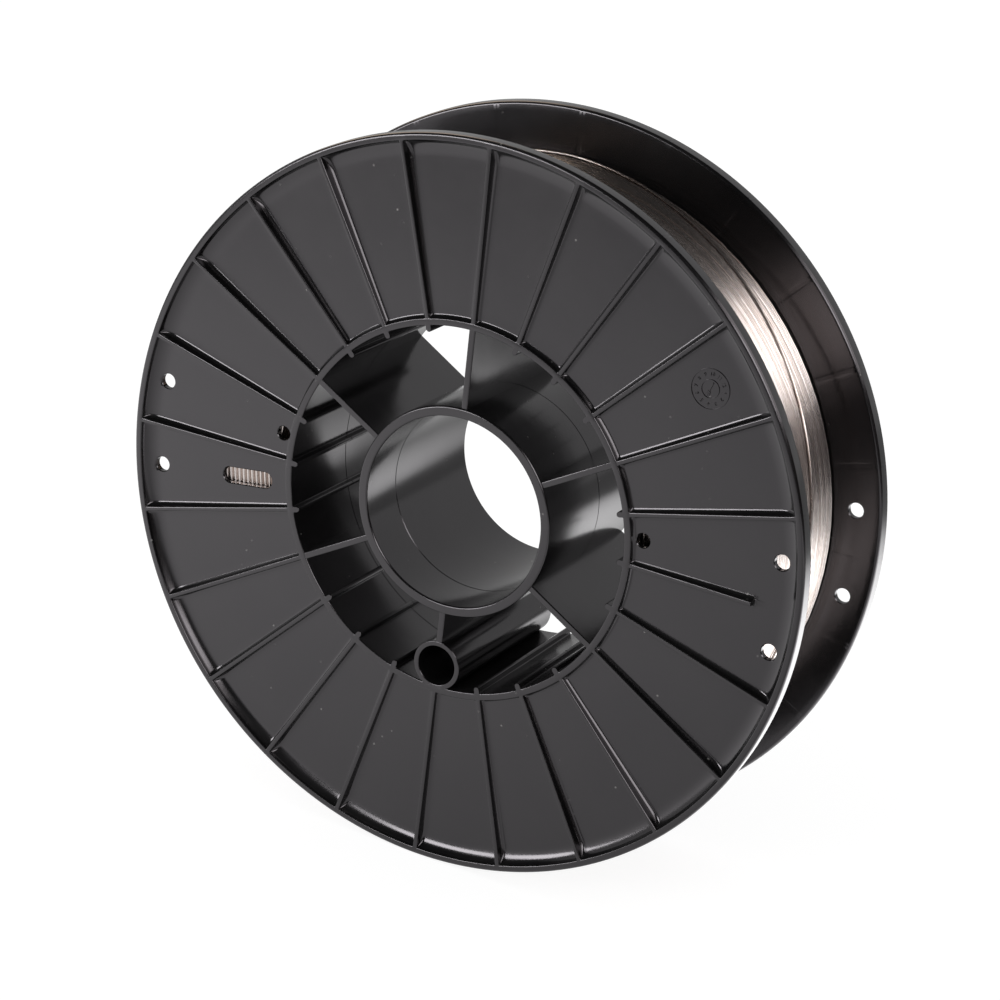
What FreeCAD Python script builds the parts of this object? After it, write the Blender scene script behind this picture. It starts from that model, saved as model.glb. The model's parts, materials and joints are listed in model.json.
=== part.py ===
import FreeCAD, Part
import math
import os

# A 200 mm welding wire spool: two moulded halves that meet near mid-width, and the wire
# wound between their flanges. The spool stands on its rims: origin at the middle of the
# hub bore, the spool's axis along Y, the front flange towards -Y, and +Z up. The hole for
# the driving pin is straight below the bore.
# Each half is modelled in its own mould frame: the axis along Z, the outer face towards
# +Z, mid-width at Z = 0, and angles run clockwise from +Y as the outer face is seen.

# Spool, over all
FLANGE_DIAMETER = 200.0
SPOOL_WIDTH = 55.0
PARTING_OFFSET = 1.7        # the front half reaches this far past mid-width

# Flange: a thin plate with a raised rim round it
PLATE_THICKNESS = 1.8
FLOOR_DEPTH = 3.1           # from the rim's face down to the plate's floor
RIM_WIDTH = 2.0             # flat face of the rim
RIM_EDGE_ROUND = 0.4
COVE_RADIUS = 3.0           # root radius inside the rim

# Barrel that carries the wire; its open end stands up as a ring inside the ribs
BARREL_DIAMETER = 103.6
BARREL_WALL = 1.6
RING_DEPTH = 1.8            # from the rim's face down to the ring's crest
RING_ROOT_RADIUS = 1.2

# Hub tube
BORE_DIAMETER = 52.0
HUB_WALL = 2.7
HUB_END_DEPTH = 1.0         # from the rim's face down to the hub's end
HUB_EDGE_ROUND = 0.5

# Joint of the two halves inside the bore: a spigot of the back half in the front half
JOINT_REACH = 13.2          # from the parting plane into the front half
SPIGOT_WALL = 1.3
JOINT_CLEARANCE = 0.1

# Ribs on the flange and beads down the inside of the barrel, one at each step
RIB_COUNT = 24
RIB_CREST_WIDTH = 1.1
RIB_DRAFT_DEG = 3.0
RIB_ROOT_RADIUS = 0.8
CREST_SHY = 0.05            # the crest stays this far under the rim and the ring
SHORT_RIB_ANGLE = 90.0
SHORT_RIB_END_RADIUS = 86.3
BEAD_WIDTH = 1.4
BEAD_HEIGHT = 1.8

# Spokes between the hub and the barrel
SPOKE_COUNT = 6
SPOKE_THICKNESS = 1.4

# Tube for the driving pin, below the hub
DRIVE_RADIUS = 44.0         # from the spool's axis
DRIVE_BORE_DIAMETER = 11.0
DRIVE_TUBE_WALL = 1.4
DRIVE_ANGLE = 180.0

# Holes that hold the wire's ends, and the window that shows how much wire is left
TAIL_HOLE_DIAMETER = 4.2
TAIL_HOLE_RADIUS = 92.8     # from the spool's axis
TAIL_HOLE_ANGLES = (82.5, 97.5, 262.5, 277.5)
START_HOLE_DIAMETER = 3.8
START_HOLE_RADIUS = 54.6    # from the spool's axis
START_HOLE_ANGLES = (82.5, 277.5)
WINDOW_ANGLE = 262.5
WINDOW_RADIUS = 64.9        # from the spool's axis to the window's middle
WINDOW_LENGTH = 15.7
WINDOW_WIDTH = 4.5

# Wound wire
COIL_DIAMETER = 173.4
COIL_CLEARANCE = 0.05       # to the barrel and to each flange
COIL_EDGE_ROUND = 0.5

# How deep a feature is sunk into what carries it, so that the two fuse into one
SINK = 0.3

# Sizes that follow
RIM_RADIUS = FLANGE_DIAMETER / 2
RIM_INNER_RADIUS = RIM_RADIUS - RIM_WIDTH
RIM_TOP = SPOOL_WIDTH / 2
FLOOR_TOP = RIM_TOP - FLOOR_DEPTH
PLATE_BACK = FLOOR_TOP - PLATE_THICKNESS
RING_TOP = RIM_TOP - RING_DEPTH
HUB_TOP = RIM_TOP - HUB_END_DEPTH
BARREL_RADIUS = BARREL_DIAMETER / 2
BARREL_INNER_RADIUS = BARREL_RADIUS - BARREL_WALL
BORE_RADIUS = BORE_DIAMETER / 2
HUB_RADIUS = BORE_RADIUS + HUB_WALL
SPIGOT_RADIUS = BORE_RADIUS + SPIGOT_WALL
SOCKET_RADIUS = SPIGOT_RADIUS + JOINT_CLEARANCE
DRIVE_BORE_RADIUS = DRIVE_BORE_DIAMETER / 2
DRIVE_TUBE_RADIUS = DRIVE_BORE_RADIUS + DRIVE_TUBE_WALL
RIB_STEP = 360.0 / RIB_COUNT
SPOKE_STEP = 360.0 / SPOKE_COUNT
OVERSHOOT = 1.0             # how far a cutting tool runs past what it cuts


class Outline:
    """A closed outline in the plane of radius and height, drawn point after point."""

    def __init__(self, radius, height):
        self.start = FreeCAD.Vector(radius, 0, height)
        self.pen = self.start
        self.edges = []

    def line(self, radius, height):
        """Draw a straight edge, or nothing where it would have no length."""
        end = FreeCAD.Vector(radius, 0, height)
        if end.distanceToPoint(self.pen) > 1e-6:
            self.edges.append(Part.LineSegment(self.pen, end).toShape())
            self.pen = end
        return self

    def arc(self, centre_radius, centre_height, radius, height):
        """Draw the quarter of a circle about the centre that ends at the given point."""
        centre = FreeCAD.Vector(centre_radius, 0, centre_height)
        end = FreeCAD.Vector(radius, 0, height)
        size = end.distanceToPoint(centre)
        if size > 1e-6:
            between = (self.pen - centre) + (end - centre)
            middle = centre + between.normalize() * size
            self.edges.append(Part.Arc(self.pen, middle, end).toShape())
            self.pen = end
        return self

    def face(self):
        self.line(self.start.x, self.start.z)
        return Part.Face(Part.Wire(self.edges))

    def turned(self):
        """The solid of revolution about the spool's axis."""
        return self.face().revolve(FreeCAD.Vector(0, 0, 0), FreeCAD.Vector(0, 0, 1), 360)


def turned_to(shape, angle):
    """Turn a shape from +Y clockwise to an angle of the mould frame."""
    placed = shape.copy()
    placed.rotate(FreeCAD.Vector(0, 0, 0), FreeCAD.Vector(0, 0, 1), -angle)
    return placed


def spot(radius, angle, height):
    """The point at a radius and an angle of the mould frame."""
    turn = math.radians(angle)
    return FreeCAD.Vector(radius * math.sin(turn), radius * math.cos(turn), height)


def flange_and_barrel(foot):
    """The flange with its rim and cove, and the barrel down to the parting plane."""
    edge = RIM_EDGE_ROUND
    cove = min(COVE_RADIUS, FLOOR_DEPTH)
    root = min(RING_ROOT_RADIUS, RING_TOP - FLOOR_TOP)
    outline = Outline(BARREL_INNER_RADIUS, foot)
    outline.line(BARREL_RADIUS, foot)
    outline.line(BARREL_RADIUS, PLATE_BACK)
    outline.line(RIM_RADIUS - edge, PLATE_BACK)
    outline.arc(RIM_RADIUS - edge, PLATE_BACK + edge, RIM_RADIUS, PLATE_BACK + edge)
    outline.line(RIM_RADIUS, RIM_TOP - edge)
    outline.arc(RIM_RADIUS - edge, RIM_TOP - edge, RIM_RADIUS - edge, RIM_TOP)
    outline.line(RIM_INNER_RADIUS, RIM_TOP)
    outline.line(RIM_INNER_RADIUS, FLOOR_TOP + cove)
    outline.arc(RIM_INNER_RADIUS - cove, FLOOR_TOP + cove, RIM_INNER_RADIUS - cove, FLOOR_TOP)
    outline.line(BARREL_RADIUS + root, FLOOR_TOP)
    outline.arc(BARREL_RADIUS + root, FLOOR_TOP + root, BARREL_RADIUS, FLOOR_TOP + root)
    outline.line(BARREL_RADIUS, RING_TOP)
    outline.line(BARREL_INNER_RADIUS, RING_TOP)
    return outline.turned()


def hub_top_outline(outline):
    """Finish a hub outline round its rounded outer end, from outside to inside."""
    edge = HUB_EDGE_ROUND
    outline.line(HUB_RADIUS, HUB_TOP - edge)
    outline.arc(HUB_RADIUS - edge, HUB_TOP - edge, HUB_RADIUS - edge, HUB_TOP)
    outline.line(BORE_RADIUS + edge, HUB_TOP)
    outline.arc(BORE_RADIUS + edge, HUB_TOP - edge, BORE_RADIUS, HUB_TOP - edge)
    return outline


def socket_hub(foot):
    """The front half's hub tube, widened inside to take the spigot."""
    shoulder = foot + JOINT_REACH
    outline = Outline(SOCKET_RADIUS, foot)
    outline.line(HUB_RADIUS, foot)
    hub_top_outline(outline)
    outline.line(BORE_RADIUS, shoulder)
    outline.line(SOCKET_RADIUS, shoulder)
    return outline.turned()


def spigot_hub(foot):
    """The back half's hub tube, with the spigot that enters the front half."""
    tip = foot - JOINT_REACH + JOINT_CLEARANCE
    outline = Outline(BORE_RADIUS, tip)
    outline.line(SPIGOT_RADIUS, tip)
    outline.line(SPIGOT_RADIUS, foot)
    outline.line(HUB_RADIUS, foot)
    hub_top_outline(outline)
    return outline.turned()


def rib_section():
    """Cross-section of a rib: a narrow crest, drafted sides and flared roots."""
    slope = math.tan(math.radians(RIB_DRAFT_DEG))
    crest = RIB_CREST_WIDTH / 2
    base = crest + FLOOR_DEPTH * slope
    root = min(RIB_ROOT_RADIUS, FLOOR_DEPTH / 2)
    toe_sink = root / 16
    shoulder = FreeCAD.Vector(crest + (FLOOR_DEPTH - root) * slope, 0, root)
    waist = FreeCAD.Vector(base + root * (1 - math.sqrt(0.5)), 0, root * (1 - math.sqrt(0.5)))
    toe = FreeCAD.Vector(base + root, 0, -toe_sink)
    corner = FreeCAD.Vector(crest, 0, FLOOR_DEPTH)
    heel = FreeCAD.Vector(base + root, 0, -SINK)

    def mirrored(point):
        return FreeCAD.Vector(-point.x, 0, point.z)

    edges = [
        Part.LineSegment(mirrored(corner), corner).toShape(),
        Part.LineSegment(corner, shoulder).toShape(),
        Part.Arc(shoulder, waist, toe).toShape(),
        Part.LineSegment(toe, heel).toShape(),
        Part.LineSegment(heel, mirrored(heel)).toShape(),
        Part.LineSegment(mirrored(heel), mirrored(toe)).toShape(),
        Part.Arc(mirrored(toe), mirrored(waist), mirrored(shoulder)).toShape(),
        Part.LineSegment(mirrored(shoulder), mirrored(corner)).toShape(),
    ]
    return Part.Face(Part.Wire(edges))


def rib(section, outer_radius):
    """One rib along +Y, from under the ring out to a radius."""
    inner_radius = BARREL_RADIUS - BARREL_WALL / 2
    placed = section.copy()
    placed.translate(FreeCAD.Vector(0, inner_radius, FLOOR_TOP))
    return placed.extrude(FreeCAD.Vector(0, outer_radius - inner_radius, 0))


def crest_envelope():
    """What the ribs are cut back to: their crests slope from the rim to the ring."""
    inner_radius = BARREL_RADIUS - BARREL_WALL / 2
    outer_radius = RIM_INNER_RADIUS + RIM_WIDTH / 2
    outline = Outline(inner_radius, FLOOR_TOP - SINK)
    outline.line(outer_radius, FLOOR_TOP - SINK)
    outline.line(outer_radius, RIM_TOP - CREST_SHY)
    outline.line(RIM_INNER_RADIUS, RIM_TOP - CREST_SHY)
    outline.line(BARREL_RADIUS, RING_TOP - CREST_SHY)
    outline.line(inner_radius, RING_TOP - CREST_SHY)
    return outline.turned()


def ribs():
    """All the ribs of one flange, cut back to their crest line."""
    section = rib_section()
    full = rib(section, RIM_INNER_RADIUS + RIM_WIDTH / 2)
    short = rib(section, SHORT_RIB_END_RADIUS)
    pieces = []
    for index in range(RIB_COUNT):
        angle = index * RIB_STEP
        is_short = abs(angle - SHORT_RIB_ANGLE) < RIB_STEP / 2
        pieces.append(turned_to(short if is_short else full, angle))
    return crest_envelope().common(Part.Compound(pieces)).Solids


def spoke(foot, outer_radius):
    """One spoke along +Y, from the hub tube's wall out to a radius."""
    inner_radius = (SOCKET_RADIUS + HUB_RADIUS) / 2
    inner_top = HUB_TOP - HUB_EDGE_ROUND
    outline = Outline(inner_radius, foot)
    outline.line(outer_radius, foot)
    outline.line(outer_radius, RING_TOP - CREST_SHY)
    outline.line(inner_radius, inner_top)
    plate = outline.face()
    plate.translate(FreeCAD.Vector(0, -SPOKE_THICKNESS / 2, 0))
    plate = plate.extrude(FreeCAD.Vector(0, SPOKE_THICKNESS, 0))
    plate.rotate(FreeCAD.Vector(0, 0, 0), FreeCAD.Vector(0, 0, 1), 90)
    return plate


def spokes(foot):
    """All the spokes; the one over the driving tube ends in that tube's wall."""
    to_barrel = spoke(foot, BARREL_RADIUS - BARREL_WALL / 2)
    to_tube = spoke(foot, DRIVE_RADIUS - DRIVE_TUBE_RADIUS + DRIVE_TUBE_WALL / 2)
    pieces = []
    for index in range(SPOKE_COUNT):
        angle = index * SPOKE_STEP
        over_tube = abs(angle - DRIVE_ANGLE) < SPOKE_STEP / 2
        pieces.append(turned_to(to_tube if over_tube else to_barrel, angle))
    return pieces


def beads(foot):
    """Round-nosed beads down the barrel's inside, at each rib that has no spoke."""
    half = BEAD_WIDTH / 2
    nose = BARREL_INNER_RADIUS - BEAD_HEIGHT
    back = BARREL_RADIUS - BARREL_WALL / 2
    left_back = FreeCAD.Vector(-half, back, foot)
    left_front = FreeCAD.Vector(-half, nose + half, foot)
    tip = FreeCAD.Vector(0, nose, foot)
    right_front = FreeCAD.Vector(half, nose + half, foot)
    right_back = FreeCAD.Vector(half, back, foot)
    edges = [
        Part.LineSegment(left_back, left_front).toShape(),
        Part.Arc(left_front, tip, right_front).toShape(),
        Part.LineSegment(right_front, right_back).toShape(),
        Part.LineSegment(right_back, left_back).toShape(),
    ]
    height = RING_TOP - CREST_SHY - foot
    bead = Part.Face(Part.Wire(edges)).extrude(FreeCAD.Vector(0, 0, height))
    spoke_angles = [index * SPOKE_STEP for index in range(SPOKE_COUNT)]
    pieces = []
    for index in range(RIB_COUNT):
        angle = index * RIB_STEP
        if min(abs(angle - taken) for taken in spoke_angles) > RIB_STEP / 2:
            if 360 - angle > RIB_STEP / 2:
                pieces.append(turned_to(bead, angle))
    return pieces


def drive_tube(foot, radius, below, above):
    """A round bar along the driving hole, from below the foot to above the ring's crest."""
    height = RING_TOP + above - foot + below
    return Part.makeCylinder(radius, height, spot(DRIVE_RADIUS, DRIVE_ANGLE, foot - below))


def plate_hole(diameter, radius, angle):
    """A round cutter through the flange plate."""
    height = RIM_TOP - PLATE_BACK + 2 * OVERSHOOT
    return Part.makeCylinder(diameter / 2, height, spot(radius, angle, PLATE_BACK - OVERSHOOT))


def window():
    """The cutter of the round-ended window, which lies along a radius."""
    half = WINDOW_WIDTH / 2
    reach = WINDOW_LENGTH / 2 - half
    height = RIM_TOP - PLATE_BACK + 2 * OVERSHOOT
    base = PLATE_BACK - OVERSHOOT
    middle = Part.makeBox(WINDOW_WIDTH, 2 * reach, height,
                          FreeCAD.Vector(-half, WINDOW_RADIUS - reach, base))
    inner_end = Part.makeCylinder(half, height, FreeCAD.Vector(0, WINDOW_RADIUS - reach, base))
    outer_end = Part.makeCylinder(half, height, FreeCAD.Vector(0, WINDOW_RADIUS + reach, base))
    return turned_to(middle.fuse([inner_end, outer_end]).removeSplitter(), WINDOW_ANGLE)


def cutters(foot):
    """Everything that is cut through a half."""
    tools = [drive_tube(foot, DRIVE_BORE_RADIUS, OVERSHOOT, OVERSHOOT), window()]
    for angle in TAIL_HOLE_ANGLES:
        tools.append(plate_hole(TAIL_HOLE_DIAMETER, TAIL_HOLE_RADIUS, angle))
    for angle in START_HOLE_ANGLES:
        tools.append(plate_hole(START_HOLE_DIAMETER, START_HOLE_RADIUS, angle))
    return tools


def spool_half(hub, foot):
    """One moulded half: flange, barrel, ribs, beads, spokes, hub and driving tube."""
    pieces = [hub, drive_tube(foot, DRIVE_TUBE_RADIUS, 0, 0)]
    pieces += ribs() + spokes(foot) + beads(foot)
    body = flange_and_barrel(foot).fuse(pieces)
    return body.cut(cutters(foot)).removeSplitter()


def front_placement(shape):
    """Stand a half up with its outer face towards -Y."""
    placed = shape.copy()
    placed.rotate(FreeCAD.Vector(0, 0, 0), FreeCAD.Vector(1, 0, 0), 90)
    return placed


def back_placement(shape):
    """Stand a half up with its outer face towards +Y."""
    placed = front_placement(shape)
    placed.rotate(FreeCAD.Vector(0, 0, 0), FreeCAD.Vector(0, 0, 1), 180)
    return placed


def wire_coil():
    """The wound wire as one ring between the flanges, round the barrel."""
    inner = BARREL_RADIUS + COIL_CLEARANCE
    outer = COIL_DIAMETER / 2
    half = PLATE_BACK - COIL_CLEARANCE
    edge = COIL_EDGE_ROUND
    outline = Outline(inner, -half)
    outline.line(outer - edge, -half)
    outline.arc(outer - edge, -half + edge, outer, -half + edge)
    outline.line(outer, half - edge)
    outline.arc(outer - edge, half - edge, outer - edge, half)
    outline.line(inner, half)
    return outline.turned()


def write(shape, node):
    """Check that a part is one sound solid, and write it under its node's name."""
    solids = shape.Solids
    if len(solids) != 1 or not shape.isValid():
        raise ValueError(node + " is not one sound solid")
    solids[0].exportStep("parts/" + node + ".step")
    print(node, "volume", round(solids[0].Volume / 1000, 2), "cm3")


os.makedirs("parts", exist_ok=True)
front_foot = -PARTING_OFFSET
back_foot = PARTING_OFFSET
write(front_placement(spool_half(socket_hub(front_foot), front_foot)), "front_half")
write(back_placement(spool_half(spigot_hub(back_foot), back_foot)), "back_half")
write(front_placement(wire_coil()), "wire_coil")
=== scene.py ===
"""Looks of a 200 mm welding wire spool: two moulded black halves and the wire wound on them.

The spool stands on its rims. Its axis lies along Y, its front flange faces -Y and +Z is up.
Sizes here are millimetres, and a mesh is written in metres. Each half is described as its
outer face is seen from outside: a radius from the axis, an angle in degrees clockwise from
the top, and a height above mid-width. A half's foot is its height at the parting plane, and
both halves are shaped in the front one's place.
"""

import json
import math
import random
from collections.abc import Callable, Iterable, Sequence
from dataclasses import dataclass, field
from enum import Enum

import bpy
from mathutils import Matrix, Vector

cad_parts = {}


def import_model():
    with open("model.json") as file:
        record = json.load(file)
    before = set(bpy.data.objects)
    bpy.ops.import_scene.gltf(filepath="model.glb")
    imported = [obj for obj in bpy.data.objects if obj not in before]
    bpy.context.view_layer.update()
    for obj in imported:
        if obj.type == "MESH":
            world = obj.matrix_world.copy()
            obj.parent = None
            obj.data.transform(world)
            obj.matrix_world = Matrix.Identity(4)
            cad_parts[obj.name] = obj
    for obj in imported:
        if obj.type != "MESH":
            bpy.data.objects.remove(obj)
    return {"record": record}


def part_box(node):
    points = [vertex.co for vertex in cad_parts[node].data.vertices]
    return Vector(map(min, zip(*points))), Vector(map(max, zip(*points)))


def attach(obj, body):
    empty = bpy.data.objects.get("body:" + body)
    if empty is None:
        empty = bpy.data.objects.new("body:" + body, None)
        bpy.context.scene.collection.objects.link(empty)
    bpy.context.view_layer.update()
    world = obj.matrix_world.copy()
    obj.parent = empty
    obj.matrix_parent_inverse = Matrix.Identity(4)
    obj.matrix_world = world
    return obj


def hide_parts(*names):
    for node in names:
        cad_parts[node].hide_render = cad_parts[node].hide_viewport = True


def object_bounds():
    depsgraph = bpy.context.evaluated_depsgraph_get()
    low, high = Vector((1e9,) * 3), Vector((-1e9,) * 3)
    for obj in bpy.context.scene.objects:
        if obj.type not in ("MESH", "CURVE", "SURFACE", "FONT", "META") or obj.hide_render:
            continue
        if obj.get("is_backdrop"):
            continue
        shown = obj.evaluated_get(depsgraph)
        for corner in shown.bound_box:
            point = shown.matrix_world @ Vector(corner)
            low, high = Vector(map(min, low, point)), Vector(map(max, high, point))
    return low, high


MM = 0.001
MERGE_DISTANCE = 0.001  # points closer than this are one point
Object = bpy.types.Object
Socket = bpy.types.NodeSocket
Point = tuple[float, float]
Colour = tuple[float, float, float]


# Helpers for modelling by hand

def only(obj: Object) -> None:
    """Select one object and nothing else, and make it active."""
    bpy.ops.object.select_all(action="DESELECT")
    obj.select_set(True)
    bpy.context.view_layer.objects.active = obj


def edit(obj: Object) -> None:
    """Open an object's mesh in edit mode with all of it selected."""
    only(obj)
    bpy.ops.object.mode_set(mode="EDIT")
    bpy.ops.mesh.select_mode(type="VERT")
    bpy.ops.mesh.select_all(action="SELECT")


def close_edit() -> None:
    """Leave edit mode."""
    bpy.ops.object.mode_set(mode="OBJECT")


def pick(obj: Object, test: Callable[[Vector], bool]) -> None:
    """Select the points of an open mesh that pass a test on their place in millimetres."""
    bpy.ops.mesh.select_all(action="DESELECT")
    close_edit()
    for vertex in obj.data.vertices:
        vertex.select = test(vertex.co / MM)
    bpy.ops.object.mode_set(mode="EDIT")


def tidy(obj: Object) -> Object:
    """Merge a mesh's doubled points and turn every face outwards."""
    edit(obj)
    bpy.ops.mesh.remove_doubles(threshold=MERGE_DISTANCE * MM)
    bpy.ops.mesh.normals_make_consistent(inside=False)
    close_edit()
    return obj


def apply_place(obj: Object) -> Object:
    """Write an object's place, turn and scale into its mesh."""
    only(obj)
    bpy.ops.object.transform_apply(location=True, rotation=True, scale=True)
    return obj


def settle(obj: Object, name: str) -> Object:
    """Write an object's place into its mesh and name both."""
    apply_place(obj)
    obj.name = name
    obj.data.name = name
    return obj


def rotate(obj: Object, degrees: float, axis: str) -> Object:
    """Turn an object about an axis through the spool's middle."""
    only(obj)
    bpy.ops.transform.rotate(value=math.radians(degrees), orient_axis=axis,
                             center_override=(0, 0, 0))
    return apply_place(obj)


def turn_clockwise(obj: Object, degrees: float) -> Object:
    """Turn an object about the spool's axis, clockwise as the front is seen."""
    return rotate(obj, -degrees, "Y")


def copy_of(obj: Object) -> Object:
    """Copy an object with a mesh of its own."""
    only(obj)
    bpy.ops.object.duplicate(linked=False)
    return bpy.context.object


def joined(parts: Sequence[Object]) -> Object:
    """Join objects into the first of them."""
    bpy.ops.object.select_all(action="DESELECT")
    for part in parts:
        part.select_set(True)
    bpy.context.view_layer.objects.active = parts[0]
    bpy.ops.object.join()
    return parts[0]


def combine(body: Object, tool: Object, operation: str) -> None:
    """Unite a body with a tool or cut the tool out of it, and delete the tool."""
    only(body)
    bpy.ops.object.modifier_add(type="BOOLEAN")
    boolean = body.modifiers[-1]
    boolean.operation = operation
    boolean.solver = "MANIFOLD"
    boolean.object = tool
    bpy.ops.object.modifier_apply(modifier=boolean.name)
    bpy.data.objects.remove(tool)


def smooth(obj: Object, degrees: float) -> None:
    """Shade an object smooth but for edges past an angle, with flats that stay flat."""
    only(obj)
    bpy.ops.object.shade_smooth_by_angle(angle=math.radians(degrees))
    bpy.ops.object.modifier_add(type="WEIGHTED_NORMAL")
    weighted = obj.modifiers[-1]
    weighted.keep_sharp = True
    bpy.ops.object.modifier_apply(modifier=weighted.name)


def round_axis(radius: float, turn: float, along: float) -> Vector:
    """The point at a radius and a clockwise turn in radians, and so far along Y."""
    return Vector((radius * math.sin(turn), along, radius * math.cos(turn)))


def linked(name: str, data: bpy.types.ID) -> Object:
    """Make an object of some data in the scene."""
    obj = bpy.data.objects.new(name, data)
    bpy.context.collection.objects.link(obj)
    return obj


@dataclass
class Pen:
    """Draws a chain of points of radius and height, as on a section drawing."""

    points: list[Point]

    def line(self, radius: float, height: float, steps: int = 1) -> None:
        """Draw a straight run to a radius and a height, in equal stretches."""
        start = self.points[-1]
        for step in range(1, steps + 1):
            share = step / steps
            self.points.append((start[0] + (radius - start[0]) * share,
                                start[1] + (height - start[1]) * share))

    def arc(self, radius: float, height: float, steps: int, level: bool) -> None:
        """Draw a quarter of a circle or an ellipse, which starts level or else upright."""
        start = self.points[-1]
        centre = (start[0], height) if level else (radius, start[1])
        for step in range(1, steps + 1):
            angle = math.pi / 2 * step / steps
            near = math.cos(angle)
            far = math.sin(angle)
            self.points.append((
                centre[0] + (start[0] - centre[0]) * near + (radius - centre[0]) * far,
                centre[1] + (start[1] - centre[1]) * near + (height - centre[1]) * far))

    def tube_end(self, outer: float, inner: float, top: float, edge: float, steps: int) -> None:
        """Draw the end of a tube's wall, with rounded edges, from outside to inside."""
        self.arc(outer - edge, top, steps, level=False)
        self.line(inner + edge, top)
        self.arc(inner, top - edge, steps, level=True)


def lathe(points: Sequence[Point], steps: int, name: str) -> Object:
    """Turn a closed section, its corners' radii and heights, about the spool's axis."""
    first = points[0]
    bpy.ops.mesh.primitive_plane_add(size=MM, location=(0, -first[1] * MM, first[0] * MM))
    obj = bpy.context.object
    obj.data.name = name
    edit(obj)
    bpy.ops.mesh.merge(type="CENTER")
    for here, there in zip(points, list(points[1:]) + [first]):
        step = (0, (here[1] - there[1]) * MM, (there[0] - here[0]) * MM)
        bpy.ops.mesh.extrude_vertices_move(TRANSFORM_OT_translate={"value": step})
    bpy.ops.mesh.select_all(action="SELECT")
    bpy.ops.mesh.remove_doubles(threshold=MERGE_DISTANCE * MM)
    bpy.ops.mesh.spin(steps=steps, angle=math.tau, center=(0, 0, 0), axis=(0, 1, 0),
                      use_auto_merge=True)
    close_edit()
    settle(obj, name)
    return tidy(obj)


# The moulded halves

class Side(Enum):
    """The two halves of the spool."""

    FRONT = "front"
    BACK = "back"

    def place(self, obj: Object, name: str) -> Object:
        """Put a piece that was shaped in the front half's place on its own side."""
        if self is Side.BACK:
            rotate(obj, 180, "Z")
        return settle(obj, name)


@dataclass
class Station:
    """One line round a sector of the flange: where it lies between ribs and on them."""

    low: Point
    high: Point
    across: Sequence[Point]


@dataclass
class RidgeSection:
    """A rib or bead seen end on: its rounded top, drafted sides and flared roots."""

    half_width: float
    height: float
    top_round: float
    root: float
    draft: float
    flat_share: float = 0.9  # of the flat, where a point holds it level

    def across(self) -> list[Point]:
        """Distances from the middle to the toe, each with its share of the full height."""
        slope = math.tan(math.radians(self.draft))
        flat = self.half_width - self.top_round
        points = [(0.0, self.height), (flat * self.flat_share, self.height)]
        for degrees in (30, 60, 90):
            turn = math.radians(degrees)
            points.append((flat + self.top_round * math.sin(turn),
                           self.height - self.top_round * (1 - math.cos(turn))))
        foot = self.half_width + (self.height - self.top_round - self.root) * slope
        for degrees in (0, 22.5, 45, 67.5, 90):
            turn = math.radians(degrees)
            points.append((foot + self.root * (1 - math.cos(turn)),
                           self.root * (1 - math.sin(turn))))
        return [(aside, height / self.height) for aside, height in points]


# Distances past the short rib's end wall, each with the share of its height that stands there
SHORT_END = ((-0.4, 1.0), (-0.2, 1.0), (-0.06, 0.93), (0.0, 0.78), (0.06, 0.3), (0.25, 0.1),
             (0.7, 0.0))


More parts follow.
